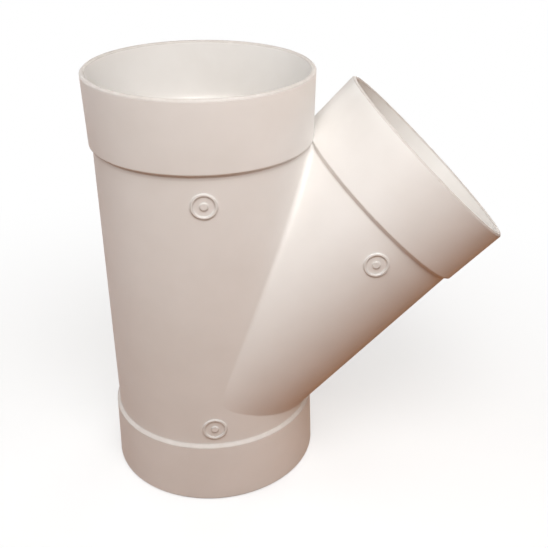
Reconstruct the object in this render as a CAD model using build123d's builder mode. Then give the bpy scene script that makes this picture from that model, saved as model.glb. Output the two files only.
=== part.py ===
from build123d import *

"""Lateral wye fitting for 4 inch sewer and drain pipe: a straight run with a branch at 45 degrees to
it, and a socket, called a hub, on each of the three ends.

It is one injection moulding, so it is one solid. It stands on its lower hub: the origin is the centre
of that hub's rim, +Z runs up the axis of the run, and the branch leans towards +X in the XZ plane,
where the mould parts too.
"""

import os
from math import cos, radians, sin

# ---------------------------------------------------------------- sizes, in millimetres and degrees
pipe_radius = 53.53  # outside of the pipe that a hub takes
socket_clearance = 0.15  # between that pipe and the socket's wall
socket_depth = 31.0  # from a rim to the stop that the pipe's end meets
stop_thickness = 5.4  # from the stop to the foot of the hub's shoulder outside it
lead_in = 0.8  # chamfer at a socket's mouth
stop_chamfer = 0.8  # chamfer on a stop's inner edge

hub_wall = 2.45  # wall of a hub at its rim
hub_draft = 0.85  # how much the outer radius of a hub shrinks from its rim to its shoulder
rim_chamfer = 0.9  # outer edge of a rim
shoulder_slope = 2.0  # a hub's shoulder slopes into the body at 45 degrees

bore_radius = 50.6  # waterway of the run
body_wall = 3.0  # wall of the run and the branch between the hubs
branch_step = 0.2  # how much slimmer the branch is than the run, inside and out

run_length = 221.4  # from rim to rim
branch_angle = 45.0  # between the axes of the run and the branch
branch_height = 57.6  # where the two axes cross, above the lower rim
branch_length = 163.9  # from there to the branch's rim

crease_fillet = 2.5  # corner outside, where the branch leaves the run
crotch_round = 1.5  # edge inside, where the two waterways meet

mark_radius = 6.25  # round mark of an ejector pin, a raised ring
mark_line = 1.2  # width of that ring
mark_height = 0.45  # how far the ring stands out of the wall
mark_dot_radius = 1.9  # raised dot in the middle of the ring
mark_root = 1.5  # how far ring and dot reach into the wall
mark_spacing = 13.6  # from a hub's shoulder to the middle of its mark, at the upper hub and on the branch
low_mark_spacing = 9.1  # the same at the lower hub

# ---------------------------------------------------------------- what follows from them
socket_radius = pipe_radius + socket_clearance
hub_radius = socket_radius + hub_wall
shoulder_radius = hub_radius - hub_draft
hub_length = socket_depth + stop_thickness
body_radius = bore_radius + body_wall

tilt = radians(branch_angle)
branch_direction = Vector(sin(tilt), 0, cos(tilt))
branch_side = Vector(cos(tilt), 0, -sin(tilt))
branch_start = Vector(0, 0, branch_height)
branch_base = Plane(origin=branch_start, x_dir=branch_side, z_dir=branch_direction)

# at each rim, a plane through the axis: x points away from the axis, y into the fitting
lower_mouth = Plane(origin=(0, 0, 0), x_dir=(1, 0, 0), z_dir=(0, -1, 0))
upper_mouth = Plane(origin=(0, 0, run_length), x_dir=(1, 0, 0), z_dir=(0, 1, 0))
branch_mouth = Plane(
    origin=branch_start + branch_direction * branch_length, x_dir=branch_side, z_dir=(0, 1, 0)
)
mouths = (lower_mouth, upper_mouth, branch_mouth)

# each ejector mark: a point on the axis of its pipe, and that pipe's outside radius
marks = (
    (Vector(0, 0, hub_length + low_mark_spacing), body_radius),
    (Vector(0, 0, run_length - hub_length - mark_spacing), body_radius),
    (
        branch_start + branch_direction * (branch_length - hub_length - mark_spacing),
        body_radius - branch_step,
    ),
)

# ---------------------------------------------------------------- the space inside
with BuildPart() as core:
    with BuildSketch(Plane.XY):
        Circle(bore_radius)
    extrude(amount=run_length)
    with BuildSketch(branch_base):
        Circle(bore_radius - branch_step)
    extrude(amount=branch_length)
    fillet(core.edges(Select.NEW), crotch_round)
    for mouth in mouths:
        with BuildSketch(mouth):
            with BuildLine():
                Polyline(
                    (0, 0),
                    (socket_radius + lead_in, 0),
                    (socket_radius, lead_in),
                    (socket_radius, socket_depth),
                    (bore_radius + stop_chamfer, socket_depth),
                    (bore_radius - stop_chamfer, socket_depth + 2 * stop_chamfer),
                    (0, socket_depth + 2 * stop_chamfer),
                    close=True,
                )
            make_face()
        revolve(axis=Axis(mouth.origin, mouth.y_dir))

# ---------------------------------------------------------------- the fitting
with BuildPart() as wye_fitting:
    # run and branch, with the corner between them
    with BuildSketch(Plane.XY):
        Circle(body_radius)
    extrude(amount=run_length)
    with BuildSketch(branch_base):
        Circle(body_radius - branch_step)
    extrude(amount=branch_length)
    fillet(wye_fitting.edges(Select.NEW), crease_fillet)

    # hubs, each drafted towards its shoulder
    for mouth in mouths:
        with BuildSketch(mouth):
            with BuildLine():
                Polyline(
                    (0, 0),
                    (hub_radius - rim_chamfer, 0),
                    (hub_radius, rim_chamfer),
                    (shoulder_radius, hub_length - shoulder_slope),
                    (shoulder_radius - shoulder_slope, hub_length),
                    (0, hub_length),
                    close=True,
                )
            make_face()
        revolve(axis=Axis(mouth.origin, mouth.y_dir))

    # marks of the ejector pins, flat rings with a dot, all on the side that faces -Y
    for centre, outside in marks:
        root = centre - Vector(0, outside - mark_root, 0)
        with BuildSketch(Plane(origin=root, x_dir=(1, 0, 0), z_dir=(0, -1, 0))):
            Circle(mark_radius)
            Circle(mark_radius - mark_line, mode=Mode.SUBTRACT)
            Circle(mark_dot_radius)
        extrude(amount=mark_root + mark_height)

    add(core.part, mode=Mode.SUBTRACT)

wye_fitting.part.label = "wye_fitting"

os.makedirs("parts", exist_ok=True)
export_step(wye_fitting.part, "parts/wye_fitting.step")
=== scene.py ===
"""Looks for the lateral wye fitting: off-white semi-gloss PVC in a soft studio, from the photograph's angle."""

from math import cos, radians, sin

import bpy
from mathutils import Euler, Matrix, Vector


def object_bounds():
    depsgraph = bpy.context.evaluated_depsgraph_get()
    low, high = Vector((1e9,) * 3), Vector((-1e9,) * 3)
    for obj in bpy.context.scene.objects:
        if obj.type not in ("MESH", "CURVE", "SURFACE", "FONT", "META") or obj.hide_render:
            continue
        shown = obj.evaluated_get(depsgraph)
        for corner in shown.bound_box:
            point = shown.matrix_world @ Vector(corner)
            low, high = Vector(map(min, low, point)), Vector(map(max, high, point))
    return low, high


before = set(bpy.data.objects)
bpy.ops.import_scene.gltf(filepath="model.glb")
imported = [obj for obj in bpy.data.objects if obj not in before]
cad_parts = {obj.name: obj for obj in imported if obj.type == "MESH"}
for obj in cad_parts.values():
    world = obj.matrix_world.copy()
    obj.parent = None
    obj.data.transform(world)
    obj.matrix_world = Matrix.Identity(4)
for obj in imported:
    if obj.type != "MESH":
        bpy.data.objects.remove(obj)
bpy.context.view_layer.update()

scene = bpy.context.scene
scene.view_settings.view_transform = "Standard"

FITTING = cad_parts["wye_fitting"]
MIDDLE = Vector((0.035, 0.0, 0.115))  # middle of the fitting, which the lamps face

# the fitting's sizes, in metres
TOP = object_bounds()[1][2]  # height of the upper rim
HUB = 0.0364  # length of a hub
LEAN = radians(45)  # the branch, from the run's axis
BRANCH_START = Vector((0.0, 0.0, 0.0576))  # where the two axes cross
BRANCH_WAY = Vector((sin(LEAN), 0.0, cos(LEAN)))
BRANCH_SIDE = Vector((cos(LEAN), 0.0, -sin(LEAN)))
TIP = 0.1639  # from there to the branch's rim
SHOULDER_RADIUS = 0.0545  # just outside a pipe, on the slope of a hub's shoulder
SKIN_RADIUS = 0.0525  # just under the outer skin of a pipe
HUB_STEP = 0.0025  # how much further out that lies in a hub
RIM_EDGE = 0.0010  # how far the dirt and painted shade on a rim reach along the pipe

# dirt and painted shade, as their share of the colour, and how they change the surface
# painted shade: a dark band under the lips of the two upper hubs, where their shadow falls
UNDER_LIP_PAINTED_SHADE = 0.16
# dirt on the three rims, and painted shade that dims the light their faces catch
RIM_DIRT_AND_PAINTED_SHADE = 0.36
# dust on the lower hub's ledge, and painted shade that dims the light its upward face catches
LEDGE_DUST_AND_PAINTED_SHADE = 0.24
DIRT_AND_SHADE_COLOUR = (0.30, 0.22, 0.17, 1)
DIRT_AND_SHADE_ROUGHNESS = 0.5  # how much rougher the surface is where the dirt and painted shade are full

# the parting line, in metres
SEAM_HALF = 0.00008  # half the width of its crest
SEAM_SLOPE = 0.00025  # width of each sloping side

# the floor
FLOOR_HALF = 6.0  # half its side, in metres
WHITE_FROM, WHITE_TO = 0.12, 0.40  # distances from the run's axis between which it turns white

WHITE = (1, 1, 1, 1)


# ---------------------------------------------------------------- small helpers for node trees
def new_material(name):
    """An empty node material, with its tree and output node."""
    material = bpy.data.materials.new(name)
    material.use_nodes = True
    tree = material.node_tree
    tree.nodes.clear()
    return material, tree, tree.nodes.new("ShaderNodeOutputMaterial")


def node(tree, kind, **values):
    """A node of that kind with the named input sockets set."""
    made = tree.nodes.new("ShaderNode" + kind)
    for socket, value in values.items():
        made.inputs[socket.replace("_", " ")].default_value = value
    return made


def noise(tree, coordinates, scale, detail, roughness):
    made = node(tree, "TexNoise", Scale=scale, Detail=detail, Roughness=roughness)
    tree.links.new(coordinates, made.inputs["Vector"])
    return made.outputs["Fac"]


def ramp(tree, value, low, high, low_colour, high_colour):
    """Maps a value between low and high to a blend of two colours."""
    made = tree.nodes.new("ShaderNodeValToRGB")
    first, last = made.color_ramp.elements
    first.position, first.color = low, (*low_colour, 1)
    last.position, last.color = high, (*high_colour, 1)
    tree.links.new(value, made.inputs["Fac"])
    return made.outputs["Color"]


def grey(value):
    return value, value, value


def measure(tree, operation, *values):
    """A maths node on sockets and numbers, and its result."""
    made = tree.nodes.new("ShaderNodeMath")
    made.operation = operation
    for slot, value in enumerate(values):
        if isinstance(value, (int, float)):
            made.inputs[slot].default_value = value
        else:
            tree.links.new(value, made.inputs[slot])
    return made.outputs[0]


def largest(tree, first, *others):
    """The largest of several values."""
    for other in others:
        first = measure(tree, "MAXIMUM", first, other)
    return first


def along(tree, place, direction, start=(0, 0, 0)):
    """How far a point lies along a direction from a start."""
    made = tree.nodes.new("ShaderNodeVectorMath")
    made.operation = "DOT_PRODUCT"
    tree.links.new(place, made.inputs[0])
    made.inputs[1].default_value = direction
    offset = Vector(start).dot(Vector(direction))
    return measure(tree, "SUBTRACT", made.outputs["Value"], offset)


def smooth(tree, value, start, end, before=0.0, after=1.0):
    """Goes smoothly from before to after, as the value goes from start to end."""
    made = node(tree, "MapRange", From_Min=start, From_Max=end, To_Min=before, To_Max=after)
    made.interpolation_type = "SMOOTHSTEP"
    tree.links.new(value, made.inputs["Value"])
    return made.outputs["Result"]


def band(tree, value, low, high, soft):
    """1 between low and high, fading to 0 over soft on both sides."""
    rise = smooth(tree, value, low - soft, low)
    fall = smooth(tree, value, high, high + soft, 1.0, 0.0)
    return measure(tree, "MULTIPLY", rise, fall)


def bump(tree, height, strength, distance, normal):
    """The normal, bumped by a height."""
    made = node(tree, "Bump", Strength=strength, Distance=distance)
    tree.links.new(height, made.inputs["Height"])
    tree.links.new(normal, made.inputs["Normal"])
    return made.outputs["Normal"]


def pick_for_camera(tree, others, camera):
    """One shader for the camera's own rays, and another for all others."""
    path = tree.nodes.new("ShaderNodeLightPath")
    made = tree.nodes.new("ShaderNodeMixShader")
    tree.links.new(path.outputs["Is Camera Ray"], made.inputs["Fac"])
    tree.links.new(others, made.inputs[1])
    tree.links.new(camera, made.inputs[2])
    return made.outputs["Shader"]


# ---------------------------------------------------------------- PVC
def dirt_and_painted_shade(tree, place, height, reach, run_radius, branch_radius):
    """A little painted shade under the lips of the two upper hubs, and grime with painted shade on the lower
    hub's ledge and on the three rims, in patches.
    """
    on_run = measure(tree, "LESS_THAN", run_radius, SHOULDER_RADIUS)
    on_branch = measure(tree, "LESS_THAN", branch_radius, SHOULDER_RADIUS)
    under_top = band(tree, height, TOP - HUB - 0.0004, TOP - HUB + 0.0002, 0.0014)
    under_tip = band(tree, reach, TIP - HUB - 0.0002, TIP - HUB + 0.0002, 0.0008)
    # painted shade in the band just under each upper hub's lip
    corner = largest(
        tree,
        measure(tree, "MULTIPLY", under_top, on_run),
        measure(tree, "MULTIPLY", under_tip, on_branch),
    )
    # dust and painted shade on the lower hub's upward ledge
    ledge = band(tree, height, HUB - 0.0022, HUB - 0.0002, 0.0002)
    # dirt and painted shade on the three rims
    rim = largest(
        tree,
        measure(tree, "GREATER_THAN", height, TOP - RIM_EDGE),
        measure(tree, "LESS_THAN", height, RIM_EDGE),
        measure(tree, "GREATER_THAN", reach, TIP - RIM_EDGE),
    )
    dirt_and_shade = largest(
        tree,
        measure(tree, "MULTIPLY", corner, UNDER_LIP_PAINTED_SHADE),
        measure(tree, "MULTIPLY", rim, RIM_DIRT_AND_PAINTED_SHADE),
        measure(tree, "MULTIPLY", ledge, LEDGE_DUST_AND_PAINTED_SHADE),
    )
    patches = noise(tree, place, 180.0, 4.0, 0.65)
    return measure(tree, "MULTIPLY", dirt_and_shade, measure(tree, "ADD", patches, 0.5))


def parting_line(tree, across, height, reach, run_radius, branch_radius):
    """A fine ridge left by the mould in the plane of the two axes, on the outside only."""
    above = measure(tree, "GREATER_THAN", height, TOP - HUB)
    below = measure(tree, "LESS_THAN", height, HUB)
    hub_zone = measure(tree, "ADD", above, below)
    tip_zone = measure(tree, "GREATER_THAN", reach, TIP - HUB)
    run_skin = measure(tree, "MULTIPLY_ADD", hub_zone, HUB_STEP, SKIN_RADIUS)
    branch_skin = measure(tree, "MULTIPLY_ADD", tip_zone, HUB_STEP, SKIN_RADIUS)
    run_outside = measure(tree, "GREATER_THAN", run_radius, run_skin)
    branch_outside = largest(
        tree,
        measure(tree, "GREATER_THAN", branch_radius, branch_skin),
        measure(tree, "LESS_THAN", reach, 0.0),
    )
    seam = band(tree, across, -SEAM_HALF, SEAM_HALF, SEAM_SLOPE)
    return measure(tree, "MULTIPLY", measure(tree, "MULTIPLY", seam, run_outside), branch_outside)


def pvc():
    """Rigid PVC as moulded: a warm off-white, slightly clouded, with a fine skin, a parting line, and grime
    with painted shade.
    """
    material, tree, output = new_material("pvc")
    link = tree.links.new
    place = tree.nodes.new("ShaderNodeTexCoord").outputs["Object"]
    shader = node(tree, "BsdfPrincipled", IOR=1.53)
    link(shader.outputs["BSDF"], output.inputs["Surface"])

    # how far along each pipe, and how far out of its axis, a point lies
    across = along(tree, place, (0, 1, 0))
    height = along(tree, place, (0, 0, 1))
    sideways = along(tree, place, (1, 0, 0))
    reach = along(tree, place, BRANCH_WAY, BRANCH_START)
    slant = along(tree, place, BRANCH_SIDE, BRANCH_START)
    squared = measure(tree, "MULTIPLY", across, across)
    run_radius = measure(tree, "SQRT", measure(tree, "MULTIPLY_ADD", sideways, sideways, squared))
    branch_radius = measure(tree, "SQRT", measure(tree, "MULTIPLY_ADD", slant, slant, squared))

    # colour
    # dirt and painted shade, mixed into the colour below
    dirt_and_shade = dirt_and_painted_shade(tree, place, height, reach, run_radius, branch_radius)
    cloud = noise(tree, place, 14.0, 4.0, 0.6)
    clean = ramp(tree, cloud, 0.33, 0.67, (0.79, 0.762, 0.727), (0.85, 0.826, 0.797))
    soiled_and_shaded = node(tree, "Mix")
    soiled_and_shaded.data_type = "RGBA"
    link(dirt_and_shade, soiled_and_shaded.inputs["Factor"])
    link(clean, soiled_and_shaded.inputs["A"])
    soiled_and_shaded.inputs["B"].default_value = DIRT_AND_SHADE_COLOUR
    link(soiled_and_shaded.outputs["Result"], shader.inputs["Base Color"])

    # gloss
    sheen = noise(tree, place, 60.0, 4.0, 0.65)
    gloss = ramp(tree, sheen, 0.3, 0.7, grey(0.40), grey(0.55))
    link(measure(tree, "MULTIPLY_ADD", dirt_and_shade, DIRT_AND_SHADE_ROUGHNESS, gloss), shader.inputs["Roughness"])

    # moulded edges are never quite sharp, and moulded walls never quite flat
    soft = node(tree, "Bevel", Radius=0.0010)
    soft.samples = 6
    skin = bump(tree, noise(tree, place, 900.0, 3.0, 0.6), 0.4, 0.00006, soft.outputs["Normal"])
    waves = bump(tree, noise(tree, place, 22.0, 2.0, 0.5), 0.5, 0.0006, skin)
    seam = parting_line(tree, across, height, reach, run_radius, branch_radius)
    link(bump(tree, seam, 0.8, 0.00015, waves), shader.inputs["Normal"])
    return material


FITTING.data.materials.clear()
FITTING.data.materials.append(pvc())


# ---------------------------------------------------------------- floor and world
def stage_floor():
    """A floor that is pale to the camera and sends warm light back up onto the fitting."""
    far = FLOOR_HALF
    mesh = bpy.data.meshes.new("floor")
    mesh.from_pydata([(-far, -far, 0), (far, -far, 0), (far, far, 0), (-far, far, 0)], [], [(0, 1, 2, 3)])
    floor = bpy.data.objects.new("floor", mesh)
    scene.collection.objects.link(floor)
    material, tree, output = new_material("floor")
    link = tree.links.new

    # near the fitting it shows the shadow, and further out it is as white as the world
    distance = tree.nodes.new("ShaderNodeVectorMath")
    distance.operation = "LENGTH"
    link(tree.nodes.new("ShaderNodeTexCoord").outputs["Object"], distance.inputs[0])
    shadowed = node(tree, "BsdfDiffuse", Color=(0.50, 0.50, 0.50, 1))
    lift = node(tree, "Emission", Color=WHITE, Strength=0.50)
    near = tree.nodes.new("ShaderNodeAddShader")
    link(shadowed.outputs["BSDF"], near.inputs[0])
    link(lift.outputs["Emission"], near.inputs[1])
    white = node(tree, "Emission", Color=WHITE, Strength=1.0)
    seen = tree.nodes.new("ShaderNodeMixShader")
    link(smooth(tree, distance.outputs["Value"], WHITE_FROM, WHITE_TO), seen.inputs["Fac"])
    link(near.outputs["Shader"], seen.inputs[1])
    link(white.outputs["Emission"], seen.inputs[2])

    bounce = node(tree, "BsdfDiffuse", Color=(0.33, 0.155, 0.08, 1))
    link(pick_for_camera(tree, bounce.outputs["BSDF"], seen.outputs["Shader"]), output.inputs["Surface"])
    mesh.materials.append(material)


def studio_world():
    """White to the camera, a dim warm surround to the fitting."""
    world = bpy.data.worlds.new("studio")
    scene.world = world
    world.use_nodes = True
    tree = world.node_tree
    tree.nodes.clear()
    output = tree.nodes.new("ShaderNodeOutputWorld")
    white = node(tree, "Background", Color=WHITE, Strength=1.0)
    dim = node(tree, "Background", Color=(1.0, 0.92, 0.84, 1), Strength=0.10)
    picked = pick_for_camera(tree, dim.outputs["Background"], white.outputs["Background"])
    tree.links.new(picked, output.inputs["Surface"])


def lamp(name, place, size, watts, colour):
    """A round lamp that faces the middle of the fitting."""
    light = bpy.data.lights.new(name, "AREA")
    light.shape = "DISK"
    light.size = size
    light.energy = watts
    light.color = colour
    lit = bpy.data.objects.new(name, light)
    lit.location = place
    lit.rotation_euler = (MIDDLE - Vector(place)).to_track_quat("-Z", "Y").to_euler()
    scene.collection.objects.link(lit)


stage_floor()
studio_world()
lamp("key", (0.035, -0.42, 0.64), 0.55, 3.8, (1.0, 0.985, 0.965))
lamp("right", (0.19, -0.20, 0.50), 0.4, 0.54, (0.95, 0.95, 1.0))
lamp("left", (-0.905, 0.0, 0.457), 0.7, 2.95, (0.93, 0.96, 1.0))
lamp("low_right", (0.95, 0.04, 0.06), 0.7, 1.7, (1.0, 0.72, 0.50))
lamp("back_right", (0.524, 0.847, 0.32), 0.7, 4.2, (1.0, 0.98, 0.95))
lamp("back_left", (-0.526, 0.80, 0.32), 0.7, 3.2, (1.0, 0.99, 0.98))


# ---------------------------------------------------------------- camera
def photograph_camera():
    """Stands before the fitting and a little above it, close enough for strong perspective."""
    turn, down, roll = radians(6.68), radians(27.89), radians(0.84)
    data = bpy.data.cameras.new("camera")
    data.sensor_width = 36.0
    data.lens = 55.55
    data.shift_x = -0.0657
    data.shift_y = -0.0062
    camera = bpy.data.objects.new("camera", data)
    aim = Euler((radians(90) - down, 0, -turn)).to_matrix() @ Matrix.Rotation(roll, 3, "Z")
    camera.matrix_world = Matrix.Translation((0.0072, -0.4065, 0.3248)) @ aim.to_4x4()
    scene.collection.objects.link(camera)
    scene.camera = camera


photograph_camera()
